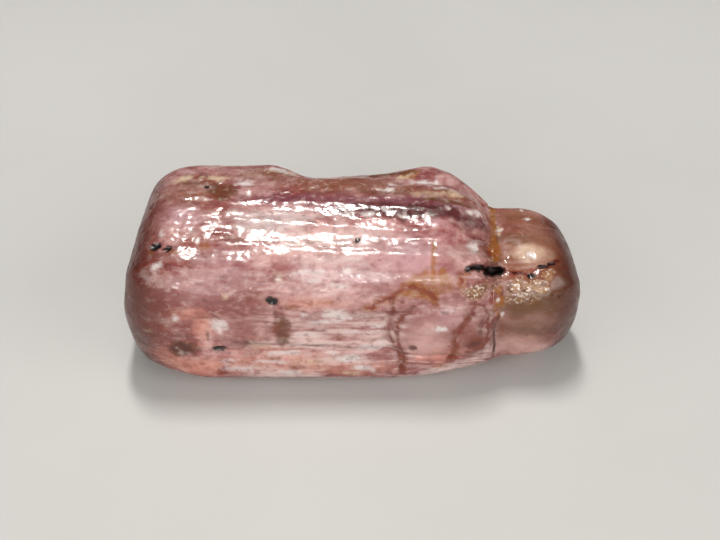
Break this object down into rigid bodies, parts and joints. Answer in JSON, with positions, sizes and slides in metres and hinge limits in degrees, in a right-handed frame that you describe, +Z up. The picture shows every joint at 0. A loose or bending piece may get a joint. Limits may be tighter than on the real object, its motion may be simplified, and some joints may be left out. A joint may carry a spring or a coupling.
{
  "type": "imperial topaz crystal",
  "caption": "Waterworn pink topaz prism lying on a prism face, with one cleaved end and a narrower domed end past a stained waist.",
  "frame": {"origin": "middle of the bounding box's underside, on the resting face", "axes": "+X along the crystal's c axis towards the domed end, -Y towards the front face, +Z up from the resting face"},
  "size_m": [0.02, 0.0072, 0.0077],
  "materials": {
    "pink_topaz": "clear rosy stone with a waterworn, slightly frosted skin, growth lines along the prism and iron stains"
  },
  "bodies": {
    "root": {"crystal": "pink_topaz"}
  },
  "joints": []
}
